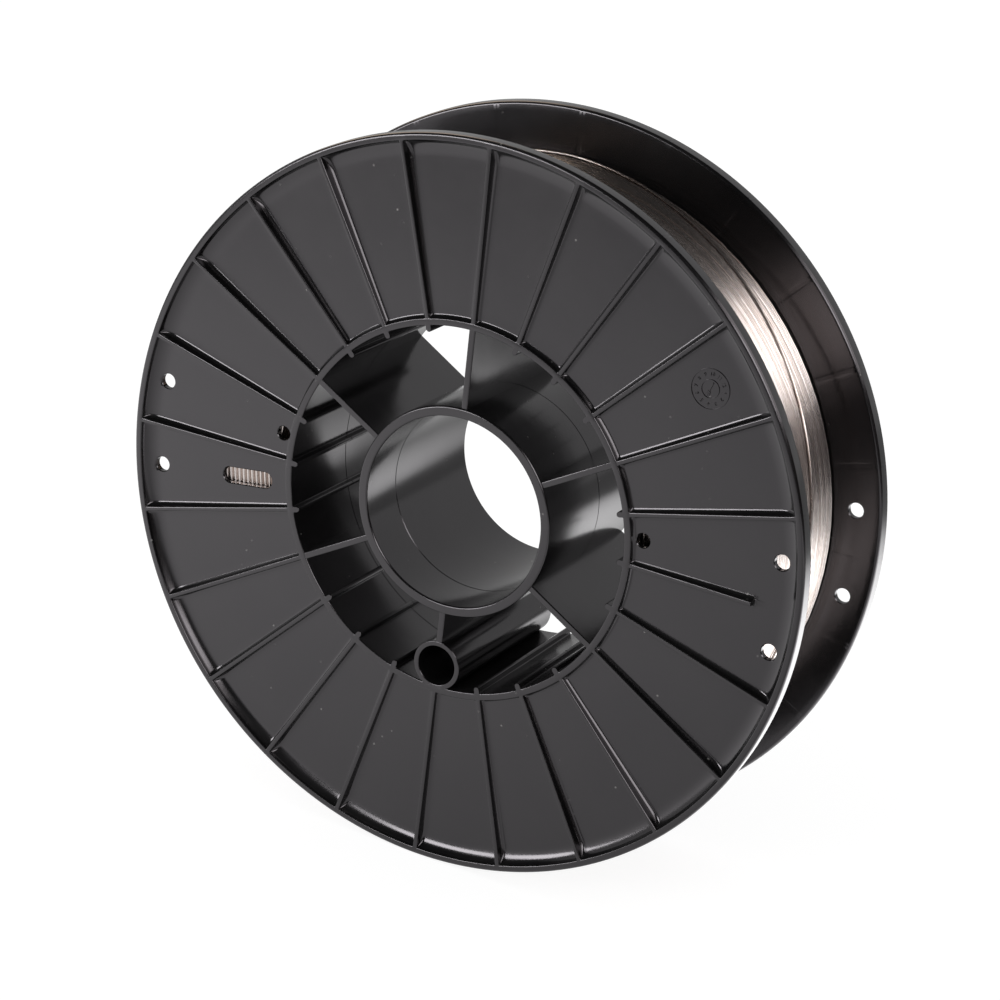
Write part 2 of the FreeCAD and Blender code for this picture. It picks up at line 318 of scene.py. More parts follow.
@dataclass
class Flange:
    """The flange with its rim, ribs and barrel, made sector by sector as one closed solid."""

    radius: float  # of the rim, read from the frame
    rim_top: float  # half the spool's width, read from the frame
    rim_width: float = 2.0
    outer_round: float = 0.85
    edge_round: float = 0.3
    floor_depth: float = 2.8
    floor_radii: tuple[float, ...] = (56.0, 60.0, 65.0, 71.0, 77.0, 82.0)
    floor_end: float = 90.5  # last floor point between the short rib and the cove
    cove_width: float = 4.6
    plate: float = 1.8
    plate_root: float = 0.5
    back_edge: float = 97.5  # outside it the inner face has no sink marks
    back_radii: tuple[float, ...] = (95.5, 88.0, 80.0, 72.0, 64.0, 57.0)
    sink_mark: float = 0.035
    barrel_radius: float = 51.8
    barrel_wall: float = 1.9
    ring_depth: float = 1.3
    ring_root: float = 1.0
    foot_chamfer: float = 0.15
    rib_count: int = 24
    crest_shy: float = 0.05
    short_rib_angle: float = 90.0
    short_rib_end: float = 86.3
    bead_height: float = 1.8
    floor_steps: int = 5
    rib: RidgeSection = field(default_factory=lambda: RidgeSection(0.6, 2.4, 0.3, 1.1, 3.0))
    bead: RidgeSection = field(default_factory=lambda: RidgeSection(0.7, 1.8, 0.66, 0.3, 0.5))

    @property
    def rim_inner(self) -> float:
        """Radius of the rim's inner wall."""
        return self.radius - self.rim_width

    @property
    def floor_top(self) -> float:
        """Height of the flange's floor."""
        return self.rim_top - self.floor_depth

    @property
    def plate_back(self) -> float:
        """Height of the face that the wire lies against."""
        return self.floor_top - self.plate

    @property
    def ring_top(self) -> float:
        """Height of the crest of the ring inside the ribs."""
        return self.rim_top - self.ring_depth

    @property
    def ring_inner(self) -> float:
        """Radius of the barrel's inside."""
        return self.barrel_radius - self.barrel_wall

    def crest(self, radius: float) -> float:
        """Height of a rib's crest at a radius, as it slopes from the rim to the ring."""
        share = (radius - self.barrel_radius) / (self.rim_inner - self.barrel_radius)
        share = min(max(share, 0.0), 1.0)
        return self.ring_top + (self.rim_top - self.ring_top) * share - self.crest_shy

    def standing(self, radius: float, is_short: bool) -> float:
        """Share of its height that a rib has at a radius: 1, or 0 past a short rib's end."""
        if not is_short:
            return 1.0
        for past, share in SHORT_END:
            if radius <= self.short_rib_end + past + MERGE_DISTANCE:
                return share
        return 0.0

    def front_stations(self, is_short: bool) -> list[Station]:
        """The stations of the outer face, from the ring's crest to the rim's back edge."""
        edge = self.edge_round
        rim = self.outer_round
        barrel = self.barrel_radius
        pen = Pen([(self.ring_inner + edge, self.ring_top)])
        pen.line(barrel - edge, self.ring_top, 2)
        pen.arc(barrel, self.ring_top - edge, 3, level=True)
        pen.arc(barrel + self.ring_root, self.floor_top, 5, level=False)
        for radius in self.floor_radii:
            pen.line(radius, self.floor_top)
        for past, _ in SHORT_END:
            pen.line(self.short_rib_end + past, self.floor_top)
        pen.line(self.floor_end, self.floor_top)
        pen.line(self.rim_inner - self.cove_width, self.floor_top, 2)
        pen.arc(self.rim_inner, self.rim_top - edge, 9, level=True)
        pen.arc(self.rim_inner + edge, self.rim_top, 3, level=False)
        ribbed = len(pen.points)
        pen.line(self.radius - rim, self.rim_top)
        pen.arc(self.radius, self.rim_top - rim, 4, level=True)
        pen.line(self.radius, self.plate_back + rim)
        pen.arc(self.radius - rim, self.plate_back, 3, level=False)
        across = self.rib.across()
        stations = []
        for index, (radius, height) in enumerate(pen.points):
            raised = height
            if index < ribbed and radius >= barrel - edge:
                share = self.standing(radius, is_short)
                raised = height + max(self.crest(radius) - height, 0.0) * share
            stations.append(Station((radius, height), (radius, raised), across))
        return stations

    def back_stations(self, foot: float) -> list[Station]:
        """The stations of the inner face and the barrel's outside, down to the foot."""
        root = self.plate_root
        across = self.rib.across()
        flat = (self.back_edge, self.plate_back)
        stations = [Station(flat, flat, across)]
        for radius in self.back_radii:
            sunk = (radius, self.plate_back + self.sink_mark)
            stations.append(Station((radius, self.plate_back), sunk, across))
        pen = Pen([(self.barrel_radius + root, self.plate_back)])
        pen.arc(self.barrel_radius, self.plate_back - root, 3, level=True)
        pen.line(self.barrel_radius, foot + self.foot_chamfer, 2)
        pen.line(self.barrel_radius - self.foot_chamfer, foot)
        return stations + [Station(point, point, across) for point in pen.points]

    def inner_stations(self, foot: float, has_bead: bool) -> list[Station]:
        """The stations up the barrel's inside, from the foot to the ring's crest."""
        edge = self.edge_round
        chamfer = self.foot_chamfer
        depth = self.bead_height if has_bead else 0.0
        across = self.bead.across()
        inner = self.ring_inner
        top = self.ring_top - edge
        rows = [(inner + chamfer, foot), (inner, foot + chamfer), (inner, (foot + top) / 2)]
        stations = [Station(low, (low[0] - depth, low[1]), across) for low in rows]
        shy = self.crest_shy if has_bead else 0.0
        for degrees in (0, 30, 60):
            turn = math.radians(degrees)
            radius = inner + edge * (1 - math.cos(turn))
            height = top + edge * math.sin(turn)
            stations.append(Station((radius, height), (radius - depth, height - shy), across))
        return stations

    def sector(self, foot: float, has_bead: bool, is_short: bool) -> Object:
        """Shape one rib's sector from a grid, right round the section, with its rib on top."""
        stations = self.front_stations(is_short) + self.back_stations(foot)
        stations += self.inner_stations(foot, has_bead)
        stations.append(stations[0])
        middle = len(self.rib.across()) - 1 + self.floor_steps
        rows = len(stations) - 1
        bpy.ops.mesh.primitive_grid_add(x_subdivisions=2 * middle, y_subdivisions=rows, size=1)
        obj = bpy.context.object
        for vertex in obj.data.vertices:
            column = round((vertex.co.x + 0.5) * 2 * middle) - middle
            station = stations[round((vertex.co.y + 0.5) * rows)]
            vertex.co = self.spot(station, column)
        return obj

    def spot(self, station: Station, column: int) -> Vector:
        """Place a sector's point on a station, some columns clockwise of the rib's middle."""
        toe = len(station.across) - 1
        aside, share = station.across[min(abs(column), toe)]
        radius = station.low[0] + (station.high[0] - station.low[0]) * share
        height = station.low[1] + (station.high[1] - station.low[1]) * share
        angle = math.asin(aside / radius)
        if abs(column) > toe:
            half_step = math.pi / self.rib_count
            angle += (half_step - angle) * (abs(column) - toe) / self.floor_steps
        return round_axis(radius, math.copysign(angle, column), -height) * MM

    def build(self, foot: float, spoke_angles: Sequence[float]) -> Object:
        """Make the flange and barrel as one solid, with no bead where there is a spoke."""
        patterns = {}
        sectors = []
        for index in range(self.rib_count):
            angle = index * 360 / self.rib_count
            kind = (angle not in spoke_angles, angle == self.short_rib_angle)
            if kind not in patterns:
                patterns[kind] = self.sector(foot, *kind)
            sectors.append(turn_clockwise(copy_of(patterns[kind]), angle))
        for pattern in patterns.values():
            bpy.data.objects.remove(pattern)
        return tidy(joined(sectors))


@dataclass
class Hub:
    """The tube that turns on the holder, with the joint of the two halves inside it."""

    bore_radius: float  # read from the record's mounts
    end_height: float
    wall: float = 2.7
    edge_round: float = 0.5
    joint_reach: float = 13.2
    spigot_wall: float = 1.3
    joint_clearance: float = 0.1
    chamfer: float = 0.15
    steps: int = 144

    @property
    def radius(self) -> float:
        """Outer radius of the tube."""
        return self.bore_radius + self.wall

    def build(self, side: Side, foot: float) -> Object:
        """Turn the tube, with the socket in the front half and the spigot in the back."""
        bore = self.bore_radius
        cut = self.chamfer
        pen = Pen([(self.radius, foot + cut)])
        pen.line(self.radius, self.end_height - self.edge_round, 2)
        pen.tube_end(self.radius, bore, self.end_height, self.edge_round, 4)
        if side is Side.FRONT:
            step = foot + self.joint_reach
            wide = bore + self.spigot_wall + self.joint_clearance
            inside = [(bore, step + cut), (bore + cut, step), (wide, step), (wide, foot)]
        else:
            tip = foot - self.joint_reach + self.joint_clearance
            wide = bore + self.spigot_wall
            inside = [(bore, tip + cut), (bore + cut, tip), (wide - cut, tip),
                      (wide, tip + cut), (wide, foot)]
        return lathe([*pen.points, *inside, (self.radius - cut, foot)], self.steps, "hub")


@dataclass
class Spoke:
    """A thin plate from the hub tube to the barrel."""

    inner_radius: float
    inner_top: float
    outer_top: float
    thickness: float = 1.8
    edge_round: float = 0.3

    def build(self, foot: float, outer_radius: float) -> Object:
        """Make one spoke, straight up from the hub to a radius inside the wall it meets."""
        length = outer_radius - self.inner_radius
        middle = (outer_radius + self.inner_radius) / 2
        low = foot + MERGE_DISTANCE
        bpy.ops.mesh.primitive_cube_add(size=MM, location=(0, 0, middle * MM))
        obj = bpy.context.object
        obj.scale = (self.thickness, 1, length)
        settle(obj, "spoke")
        for vertex in obj.data.vertices:
            if vertex.co.y > 0:
                vertex.co.y = -low * MM
            elif vertex.co.z > middle * MM:
                vertex.co.y = -self.outer_top * MM
            else:
                vertex.co.y = -self.inner_top * MM
        edit(obj)
        bpy.ops.mesh.select_mode(type="EDGE")
        bpy.ops.mesh.select_all(action="DESELECT")
        close_edit()
        for edge in obj.data.edges:
            ends = [obj.data.vertices[index].co for index in edge.vertices]
            along = abs(ends[0].z - ends[1].z) > MM
            edge.select = along and max(end.y for end in ends) < -low * MM - MM
        bpy.ops.object.mode_set(mode="EDIT")
        bpy.ops.mesh.bevel(offset=self.edge_round * MM, segments=3, affect="EDGES")
        close_edit()
        return tidy(obj)


@dataclass
class DrivingTube:
    """The tube below the hub for the pin that drives the spool."""

    bore_radius: float  # read from the record's mounts
    distance: float  # of its axis from the spool's
    top: float
    wall: float = 1.4
    edge_round: float = 0.25
    steps: int = 72

    @property
    def radius(self) -> float:
        """Outer radius of the tube."""
        return self.bore_radius + self.wall

    def build(self, foot: float) -> Object:
        """Turn the tube and put it below the hub."""
        low = foot + MERGE_DISTANCE
        pen = Pen([(self.radius, low)])
        pen.line(self.radius, self.top - self.edge_round)
        pen.tube_end(self.radius, self.bore_radius, self.top, self.edge_round, 3)
        pen.line(self.bore_radius, low)
        tube = lathe(pen.points, self.steps, "driving_tube")
        tube.location.z = -self.distance * MM
        return apply_place(tube)


@dataclass
class PlateHole:
    """A hole through the flange plate, round or drawn out along a radius, with soft lips."""

    half_width: float
    distance: float  # of its middle from the spool's axis
    angle: float
    reach: float = 0.0  # from its middle to the centres of its round ends
    lip: float = 0.2
    sides: int = 46
    past: float = 1.0  # how far the cutter stands out of the plate

    def cutter(self, top: float, bottom: float) -> Object:
        """Make the solid that cuts the hole between the heights of the plate's faces."""
        waist = top - bottom - 2 * self.lip
        bpy.ops.mesh.primitive_cylinder_add(
            vertices=self.sides, radius=self.half_width * MM, depth=waist * MM,
            location=(0, -(top + bottom) / 2 * MM, 0), rotation=(math.pi / 2, 0, 0))
        obj = settle(bpy.context.object, "hole_cutter")
        flare = (self.half_width + self.lip + self.past) / self.half_width
        for height, outwards in ((top - self.lip, 1), (bottom + self.lip, -1)):
            edit(obj)
            pick(obj, lambda point, level=height: abs(point.y + level) < MERGE_DISTANCE)
            step = (0, -outwards * (self.lip + self.past) * MM, 0)
            bpy.ops.mesh.extrude_region_move(TRANSFORM_OT_translate={"value": step})
            bpy.ops.transform.resize(value=(flare, 1, flare), center_override=(0, 0, 0))
            close_edit()
        for vertex in obj.data.vertices:
            vertex.co.z += math.copysign(self.reach, vertex.co.z) * MM + self.distance * MM
        return turn_clockwise(tidy(obj), self.angle)


@dataclass
class DateDial:
    """A moulded dial with an arrow, as moulds carry to show the month of moulding."""

    floor: float
    distance: float = 84.0
    angle: float = 52.5
    tilt: float = 8.0
    radius: float = 5.2
    rise: float = 0.25
    line_width: float = 0.35
    steps: int = 48
    months: int = 12
    numeral_height: float = 1.35
    numeral_place: float = 0.74  # these three are shares of the radius
    inner_circle: float = 0.46
    arrow_reach: float = 0.36
    arrow_angle: float = 140.0
    arrow_half_width: float = 0.22
    barb_start: float = 0.35  # along the arrow
    barb_spread: float = 18.0
    barb_half_width: float = 0.2
    taper: float = 0.6  # width of a line's top out of its foot

    def ring(self, radius: float) -> Object:
        """Turn one raised circle about the spool's axis."""
        half = self.line_width / 2
        sunk = self.floor - self.rise
        top = self.floor + self.rise
        corners = [(radius - half, sunk), (radius + half, sunk),
                   (radius + half * self.taper, top), (radius - half * self.taper, top)]
        return lathe(corners, self.steps, "dial_ring")

    def bar(self, start: float, end: float, angle: float, half: float) -> Object:
        """Make one raised bar along a radius, with half its width given."""
        bpy.ops.mesh.primitive_cube_add(
            size=MM, location=(0, -self.floor * MM, (start + end) / 2 * MM))
        obj = bpy.context.object
        obj.scale = (2 * half, 2 * self.rise, end - start)
        settle(obj, "dial_bar")
        edit(obj)
        pick(obj, lambda point: -point.y > self.floor)
        bpy.ops.transform.resize(value=(self.taper, 1, 1), center_override=(0, 0, 0))
        close_edit()
        return turn_clockwise(tidy(obj), angle)

    def numeral(self, month: int) -> Object:
        """Make one raised number, upright at its place on the dial."""
        bpy.ops.object.text_add(rotation=(math.pi / 2, 0, 0))
        text = bpy.context.object
        text.data.body = str(month)
        text.data.align_x = "CENTER"
        text.data.align_y = "CENTER"
        text.data.size = self.numeral_height * MM
        text.data.extrude = self.rise * MM
        text.data.resolution_u = 3
        text.location = (0, -self.floor * MM, self.radius * self.numeral_place * MM)
        only(text)
        bpy.ops.object.convert(target="MESH")
        obj = settle(bpy.context.object, "dial_numeral")
        return turn_clockwise(tidy(obj), month * 360 / self.months)

    def build(self) -> Object:
        """Make the dial on the flange's floor."""
        parts = [self.ring(self.radius), self.ring(self.radius * self.inner_circle)]
        for month in range(1, self.months + 1):
            parts.append(self.numeral(month))
        tip = self.radius * self.arrow_reach
        parts.append(self.bar(-tip, tip, self.arrow_angle, self.arrow_half_width))
        for spread in (self.barb_spread, -self.barb_spread):
            parts.append(self.bar(tip * self.barb_start, tip, self.arrow_angle + spread,
                                  self.barb_half_width))
        dial = turn_clockwise(joined(parts), self.tilt)
        dial.location.z = self.distance * MM
        return turn_clockwise(apply_place(dial), self.angle)


@dataclass
class SpoolHalf:
    """One moulded half: flange, barrel, hub tube, spokes, driving tube and holes."""

    side: Side
    flange: Flange
    hub: Hub
    tube: DrivingTube
    holes: list[PlateHole]
    foot: float
    spoke_count: int = 6
    sharp_edge: float = 42.0

    @property
    def spoke_angles(self) -> list[float]:
        """The spokes' angles."""
        return [index * 360 / self.spoke_count for index in range(self.spoke_count)]

    def spokes(self) -> Iterable[Object]:
        """Make the spokes; the one over the driving tube ends in that tube's wall."""
        plain = Spoke(
            inner_radius=self.hub.radius - self.hub.wall / 4,
            inner_top=self.hub.end_height - self.hub.edge_round,
            outer_top=self.flange.ring_top - self.flange.crest_shy)
        to_barrel = self.flange.barrel_radius - self.flange.barrel_wall / 2
        to_tube = self.tube.distance - self.tube.radius + self.tube.wall / 2
        for angle in self.spoke_angles:
            reach = to_tube if angle == 180 else to_barrel
            yield turn_clockwise(plain.build(self.foot, reach), angle)

    def build(self) -> Object:
        """Make the half as one solid."""
        middle = self.hub.build(self.side, self.foot)
        for spoke in self.spokes():
            combine(middle, spoke, "UNION")
        combine(middle, self.tube.build(self.foot), "UNION")
        body = self.flange.build(self.foot, self.spoke_angles)
        combine(body, middle, "UNION")
        for hole in self.holes:
            cutter = hole.cutter(self.flange.floor_top, self.flange.plate_back)
            combine(body, cutter, "DIFFERENCE")
        return body


# The wound wire

@dataclass
class WireCoil:
    """The wire as it is wound: packed layers seen at the ends, and the last layer's turns."""

    inner_radius: float
    outer_radius: float  # read from the frame
    half_width: float  # to the flange's inner face
    wire: float = 0.8
    start_radius: float = 55.6  # inside it the first layers stay back from the flange
    start_hollow: float = 3.0
    end_round: tuple[float, ...] = (-80, -50, -25, 0, 25, 50, 80)
    core_depth: float = 0.62  # of the core below the outside, in wires
    end_steps: int = 120
    turn_steps: int = 80
    bedding: float = 0.06  # how deep the last layer's turns lie
    unevenness: tuple[float, float] = (0.05, 0.06)  # outwards and along the axis
    crossing_landing: float = -40.0
    crossing_leave: float = -1.0
    crossing_slope: float = 16.6 / 88.0
    crossing_step: float = 3.0
    crossing_gap: float = 0.03
    seed: int = 11

    @property
    def layer_pair(self) -> float:
        """Rise of two layers of round wire that lie in each other's grooves."""
        return self.wire * math.sqrt(3)

    @property
    def reach(self) -> float:
        """Distance from mid-width to the middle of the outermost turn."""
        return self.half_width - self.wire / 2

    def end_profile(self) -> list[Point]:
        """Radii and depths of one packed end, from the barrel outwards.

        A wire touches the flange, and between two of those a wire lies half a diameter back.
        """
        half = self.wire / 2
        points = []
        radius = self.inner_radius
        while radius + self.layer_pair < self.outer_radius - self.wire:
            centre = radius + half
            sunk = self.start_hollow if radius < self.start_radius else 0.0
            for degrees in self.end_round:
                turn = math.radians(degrees)
                depth = sunk + half * (1 - math.cos(turn))
                points.append((centre + half * math.sin(turn), depth))
            points.append((centre + self.layer_pair / 2, sunk + self.wire))
            radius += self.layer_pair
        return points

    def packed_body(self) -> Object:
        """Turn the inner layers as one body with grooved ends."""
        core = self.outer_radius - self.wire * self.core_depth
        first = (self.inner_radius, self.start_hollow + self.wire)
        end = [first, *self.end_profile(), (core, self.wire / 2)]
        points = [(radius, self.half_width - depth) for radius, depth in end]
        points += [(radius, -self.half_width + depth) for radius, depth in reversed(end)]
        body = lathe(points, self.end_steps, "coil_layers")
        smooth(body, 60)
        return body

    def strand(self, path: Sequence[Vector], name: str) -> Object:
        """Make a round wire whose middle line is a path in millimetres."""
        curve = bpy.data.curves.new(name, "CURVE")
        curve.dimensions = "3D"
        curve.bevel_depth = self.wire / 2 * MM
        curve.bevel_resolution = 2
        curve.use_fill_caps = True
        spline = curve.splines.new("POLY")
        spline.points.add(len(path) - 1)
        for point, place in zip(spline.points, path):
            point.co = (*(place * MM), 1.0)
        only(linked(name, curve))
        bpy.ops.object.convert(target="MESH")
        obj = settle(bpy.context.object, name)
        bpy.ops.object.shade_smooth()
        return obj

    def last_layer(self) -> Object:
        """Wind the turns that show as one wire, each a little off the one before."""
        draw = random.Random(self.seed)
        turns = int(2 * self.reach / self.wire)
        pitch = 2 * self.reach / turns
        lean = [draw.uniform(-1, 1) for _ in range(turns + 2)]
        phase = [draw.uniform(0, math.tau) for _ in range(turns + 2)]
        outwards, along = self.unevenness
        path = []
        for step in range(turns * self.turn_steps + 1):
            count = step / self.turn_steps
            angle = math.tau * count
            turn = int(count)
            share = count - turn
            wave = (1 - share) * lean[turn] * math.sin(angle + phase[turn])
            wave += share * lean[turn + 1] * math.sin(angle + phase[turn + 1])
            radius = self.outer_radius - self.wire / 2 - self.bedding + outwards * wave
            across = -self.reach + pitch * count + along * wave
            across = min(max(across, -self.reach), self.reach)
            path.append(round_axis(radius, angle, across))
        return self.strand(path, "coil_last_layer")

    def crossing_turn(self) -> Object:
        """Lay the last turn, which crosses the others from the back flange to the front."""
        radius = self.outer_radius + self.wire / 2 + self.crossing_gap
        end = self.crossing_leave + 2 * self.reach / self.crossing_slope
        path = []
        degrees = self.crossing_landing
        while degrees < end:
            across = self.reach - max(degrees - self.crossing_leave, 0) * self.crossing_slope
            path.append(round_axis(radius, math.radians(degrees), across))
            degrees += self.crossing_step
        return self.strand(path, "coil_crossing_turn")


# Finishes

class Nodes:
    """A material's or a world's node tree, with short calls to add and join nodes."""

    def __init__(self, owner: bpy.types.Material | bpy.types.World) -> None:
        """Start with an empty tree."""
        owner.use_nodes = True
        self.owner = owner
        self.tree = owner.node_tree
        self.tree.nodes.clear()

    def feed(self, socket: Socket, value: object) -> None:
        """Join an output to an input socket, or set the socket's own value."""
        if isinstance(value, Socket):
            self.tree.links.new(value, socket)
        else:
            socket.default_value = value

    def add(self, kind: str, *values: object, **settings: object) -> bpy.types.Node:
        """Add a node.

        Args:
            kind: The node's type, without the word ShaderNode.
            values: What its first input sockets take, an output or a plain value each.
            settings: Its properties, or what input sockets take where it has none so named.
        """
        node = self.tree.nodes.new("ShaderNode" + kind)
        for key, value in settings.items():
            if hasattr(node, key):
                setattr(node, key, value)
            else:
                self.feed(node.inputs[key.replace("_", " ")], value)
        for socket, value in zip(node.inputs, values):
            self.feed(socket, value)
        return node

    def maths(self, operation: str, *values: object) -> Socket:
        """Work out a value from others, outputs or plain numbers."""
        return self.add("Math", *values, operation=operation).outputs[0]

    def ramp(self, source: Socket, *stops: tuple) -> Socket:
        """Map a value through stops, each a place from 0 to 1 and a grey or a colour."""
        node = self.add("ValToRGB", Fac=source)
        elements = node.color_ramp.elements
        while len(elements) < len(stops):
            elements.new(0.5)
        for element, (place, tone) in zip(elements, stops):
            element.position = place
            colour = (tone, tone, tone) if isinstance(tone, (int, float)) else tone
            element.color = (*colour, 1)
        return node.outputs["Color"]

    def spread(self, source: Socket, start: float, end: float) -> Socket:
        """Map a noise's middle range to a range of roughness."""
        return self.add("MapRange", Value=source, From_Min=0.3, From_Max=0.7,
                        To_Min=start, To_Max=end).outputs["Result"]


@dataclass(frozen=True)
class MouldedPlastic:
    """Satin black injection-moulded plastic with faint flow marks and specks of dust."""

    colour: Colour = (0.0045, 0.0045, 0.0048)
    worn: Colour = (0.008, 0.0078, 0.0078)
    dust: Colour = (0.30, 0.29, 0.28)
    smoothest: float = 0.14
    roughest: float = 0.22

    def build(self) -> bpy.types.Material:
        """Make the material."""
        nodes = Nodes(bpy.data.materials.new("satin_black_plastic"))
        place = nodes.add("TexCoord").outputs["Object"]

        def noise(scale: float, detail: float, roughness: float = 0.5) -> Socket:
            return nodes.add("TexNoise", Vector=place, Scale=scale, Detail=detail,
                             Roughness=roughness).outputs["Fac"]

        cloud = noise(34.0, 4.0, 0.55)
        tone = nodes.ramp(cloud, (0.35, self.colour), (0.7, self.worn))
        specks = nodes.add("TexVoronoi", feature="F1", Vector=place, Scale=210.0,
                           Randomness=1.0)
        near = nodes.ramp(specks.outputs["Distance"], (0.0, 1.0), (0.085, 0.0))
        some = nodes.ramp(noise(95.0, 1.0), (0.52, 0.0), (0.6, 1.0))
        dusted = nodes.add("Mix", data_type="RGBA", Factor=nodes.maths("MULTIPLY", near, some),
                           A=tone, B=(*self.dust, 1))
        fine = nodes.add("Bump", Strength=0.05, Distance=0.0001, Height=noise(900.0, 3.0))
        wavy = nodes.add("Bump", Strength=0.12, Distance=0.0006, Height=noise(55.0, 2.0),
                         Normal=fine.outputs["Normal"])
        shader = nodes.add(
            "BsdfPrincipled", Specular_IOR_Level=0.5, IOR=1.58,
            Specular_Tint=(1.0, 0.95, 1.0, 1.0), Base_Color=dusted.outputs["Result"],
            Roughness=nodes.spread(cloud, self.smoothest, self.roughest),
            Normal=wavy.outputs["Normal"])
        nodes.add("OutputMaterial", Surface=shader.outputs["BSDF"])
        return nodes.owner


@dataclass(frozen=True)
class DrawnWire:
    """Bright drawn welding wire with a slight bronze tint and streaks along its turns."""

    bright: Colour = (0.62, 0.57, 0.55)
    dull: Colour = (0.40, 0.34, 0.31)
    smoothest: float = 0.17
    roughest: float = 0.30
    stretch: Colour = (14.0, 900.0, 14.0)  # of the streaks, fine across the turns

    def build(self) -> bpy.types.Material:
        """Make the material."""
        nodes = Nodes(bpy.data.materials.new("drawn_welding_wire"))
        place = nodes.add("TexCoord").outputs["Object"]
        stretched = nodes.add("Mapping", Vector=place, Scale=self.stretch).outputs["Vector"]
        streak = nodes.add("TexNoise", Vector=stretched, Scale=1.0, Detail=3.0).outputs["Fac"]
        shader = nodes.add(
            "BsdfPrincipled", Metallic=1.0,
            Base_Color=nodes.ramp(streak, (0.34, self.dull), (0.62, self.bright)),
            Roughness=nodes.spread(streak, self.roughest, self.smoothest))
        nodes.add("OutputMaterial", Surface=shader.outputs["BSDF"])
        return nodes.owner


# The studio

@dataclass(frozen=True)
class PhotographView:
    """Where the photograph was taken from."""

    azimuth: float = 28.82
    elevation: float = 17.81
    spool_turn: float = 6.89  # how far the photographed spool is turned clockwise
    distance: float = 801.0
    aside: float = 0.25
    above: float = 3.81
    lens: float = 107.55

    def build(self) -> None:
        """Make the camera."""
        turn = math.radians(self.azimuth)
        tilt = math.radians(self.elevation)
        right = Vector((math.cos(turn), math.sin(turn), 0))
        ahead = Vector((-math.sin(turn) * math.cos(tilt), math.cos(turn) * math.cos(tilt),
                        -math.sin(tilt)))
        up = right.cross(ahead)
        place = -(right * self.aside + up * self.above + ahead * self.distance) * MM
        axes = Matrix((right, up, -ahead)).transposed().to_4x4()
        data = bpy.data.cameras.new("camera")
        data.lens = self.lens
        data.sensor_width = 36.0
        data.clip_start = 0.01
        data.dof.use_dof = False
        camera = linked("camera", data)
        back = Matrix.Rotation(-math.radians(self.spool_turn), 4, "Y")
        camera.matrix_world = back @ Matrix.Translation(place) @ axes
        bpy.context.scene.camera = camera


@dataclass(frozen=True)
class Softbox:
    """A soft lamp that looks at the spool from a direction."""

    name: str
    direction: tuple[float, float, float]
    distance: float
    width: float
    height: float
    brightness: float  # of its face, where 1 is white

    def build(self) -> None:
        """Make the lamp."""
        data = bpy.data.lights.new(self.name, "AREA")
        data.shape = "RECTANGLE"
        data.size = self.width
        data.size_y = self.height
        data.energy = self.brightness * math.pi * self.width * self.height
        lamp = linked(self.name, data)
        towards = Vector(self.direction).normalized()
        lamp.location = towards * self.distance
        lamp.rotation_euler = towards.to_track_quat("Z", "Y").to_euler()
        lamp.visible_camera = False


@dataclass(frozen=True)
class Card:
    """A long card beside the spool's axis, which only shows in what shines."""

    name: str
    start: float  # angle from straight up, towards the right
    end: float
    tone: Colour  # of its face, where 1 is white
    distance: float = 0.9
    length: float = 3.3
    shift: float = -0.85  # of its middle along Y

    def build(self) -> None:
        """Make the card."""
        middle = math.radians((self.start + self.end) / 2)
        width = 2 * self.distance * math.tan(math.radians((self.end - self.start) / 2))
        place = (self.distance * math.sin(middle), self.shift, self.distance * math.cos(middle))
        bpy.ops.mesh.primitive_plane_add(size=1, location=place, rotation=(0, middle, 0))
        card = bpy.context.object
        card.scale = (width, self.length, 1)
        settle(card, self.name)
        nodes = Nodes(bpy.data.materials.new(self.name + "_face"))
        face = nodes.add("Emission", Color=(*self.tone, 1), Strength=1.0)
        nodes.add("OutputMaterial", Surface=face.outputs[0])
        card.data.materials.append(nodes.owner)
        card.visible_camera = False
        card.visible_diffuse = False
        card.visible_shadow = False
        card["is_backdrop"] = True


@dataclass(frozen=True)
class Pool:
    """A pool of light on the floor, which shows in what shines."""

    place: tuple[float, float]
    reach: float
    brightness: float  # at its middle, where 1 is white
    core: float = 0.08  # the radius that is as bright as the middle

    def add(self, nodes: Nodes, place: Socket, height: float) -> Socket:
        """Work out the pool's brightness at a place on a floor at a height in metres."""
        away = nodes.add("VectorMath", place, (*self.place, height), operation="DISTANCE")
        level = nodes.add("MapRange", Value=away.outputs["Value"], From_Min=self.core,
                          From_Max=self.reach, To_Min=self.brightness, To_Max=0.0)
        return level.outputs["Result"]


